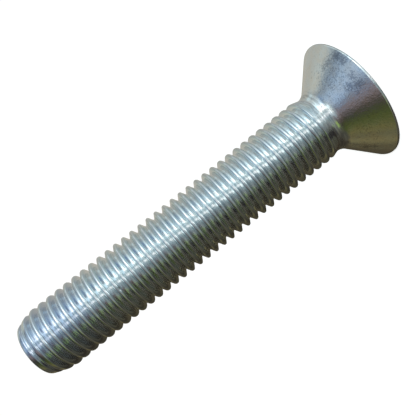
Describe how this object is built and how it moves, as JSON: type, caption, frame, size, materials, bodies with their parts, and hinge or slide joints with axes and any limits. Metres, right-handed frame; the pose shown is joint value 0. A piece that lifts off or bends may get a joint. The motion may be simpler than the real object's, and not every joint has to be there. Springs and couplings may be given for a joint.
{
  "type": "countersunk bolt",
  "caption": "Zinc-plated steel countersunk bolt with a hexagon socket in its flat head and a coarse metric right-hand thread up to its neck.",
  "frame": {"origin": "centre of the flat head face, which the bolt stands on", "axes": "+Z along the bolt's axis from the head face to the tip; X across two flats of the hexagon socket"},
  "size_m": [0.0232, 0.0232, 0.0685],
  "materials": {
    "zinc_plate": "bright zinc plate on rolled and forged steel, small scuffs on the crests"
  },
  "bodies": {
    "root": {"countersunk_bolt": "zinc_plate"}
  },
  "joints": []
}
